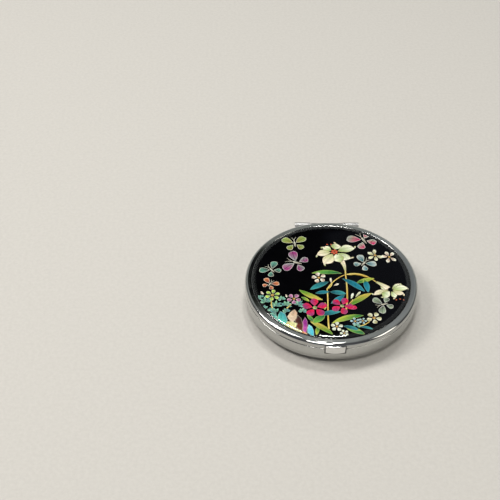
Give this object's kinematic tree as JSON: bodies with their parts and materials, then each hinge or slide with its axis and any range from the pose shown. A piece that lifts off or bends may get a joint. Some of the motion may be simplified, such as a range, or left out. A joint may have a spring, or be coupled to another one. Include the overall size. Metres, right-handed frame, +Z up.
{
  "type": "powder compact",
  "caption": "Round polished clamshell powder compact, its black lid panel inlaid with flowers and butterflies under a clear cover; mirror, pressed powder and puff inside.",
  "frame": {"origin": "centre of the underside of the base, on the face that the closed compact rests on", "axes": "+Z up through the lid, +Y towards the hinge, +X right when seen from the push button side"},
  "size_m": [0.07, 0.0718, 0.012],
  "materials": {
    "polished_case": "mirror-polished plated steel",
    "polished_button": "mirror-polished plated steel",
    "satin_tray": "satin plated steel",
    "pan_metal": "pressed aluminium",
    "adhesive": "pale double-sided adhesive",
    "pressed_powder": "matt pressed beige powder",
    "puff_velour": "short-pile velour",
    "satin_ribbon": "satin weave",
    "hinge_steel": "polished steel",
    "latch_steel": "pressed spring steel",
    "spring_steel": "drawn wire",
    "black_lacquer": "deep gloss black lacquer",
    "clear_resin": "clear glossy resin",
    "mirror": "silvered flat glass",
    "shell_vermilion": "dyed shell",
    "shell_ivory": "pearly shell",
    "shell_gold": "dyed shell",
    "shell_crimson": "dyed shell",
    "shell_cream": "pearly shell",
    "shell_bright": "dyed shell",
    "shell_silver": "pearly shell",
    "shell_pearl": "pearly shell",
    "shell_wing": "dyed shell",
    "shell_teal": "dyed shell",
    "shell_green": "dyed shell",
    "shell_rock": "dyed shell",
    "shell_foliage": "dyed shell"
  },
  "bodies": {
    "base": {"base_shell": "polished_case", "inner_tray": "satin_tray", "powder_pan": "pan_metal", "pan_adhesive": "adhesive", "pressed_powder": "pressed_powder", "powder_puff": "puff_velour", "puff_ribbon": "satin_ribbon", "base_hinge_leaf": "hinge_steel", "hinge_pin": "hinge_steel", "latch_guide": "latch_steel", "latch_cover": "latch_steel", "latch_spring": "spring_steel"},
    "button": {"push_button": "polished_button", "latch_slider": "latch_steel"},
    "lid": {"lid_shell": "polished_case", "lid_hinge_leaf": "hinge_steel", "latch_hook": "latch_steel", "lacquer_panel": "black_lacquer", "clear_cover": "clear_resin", "mirror_glass": "mirror", "mirror_adhesive": "adhesive", "mirror_bezel": "satin_tray", "inlay_lily_hearts": "shell_vermilion", "inlay_lily_petals": "shell_ivory", "inlay_red_hearts": "shell_gold", "inlay_red_petals": "shell_crimson", "inlay_blossom_hearts": "shell_gold", "inlay_pale_blossoms": "shell_cream", "inlay_bright_blossoms": "shell_bright", "inlay_butterfly_bodies": "shell_silver", "inlay_pearl_wings": "shell_pearl", "inlay_bright_wings": "shell_wing", "inlay_teal_leaves": "shell_teal", "inlay_green_leaves": "shell_green", "inlay_stems": "shell_gold", "inlay_rocks": "shell_rock", "inlay_foliage": "shell_foliage"}
  },
  "joints": [
    {"name": "lid_hinge", "type": "hinge", "parent": "base", "child": "lid", "pos_m": [0, 0.0351, 0.00885], "axis": [-1, 0, 0], "range_deg": [0, 120]},
    {"name": "button_press", "type": "slide", "parent": "base", "child": "button", "axis": [0, 1, 0], "range_m": [0, 0.0008], "stiffness_N_per_m": 600, "springref_m": -0.0008, "deforming": ["latch_spring"]}
  ]
}
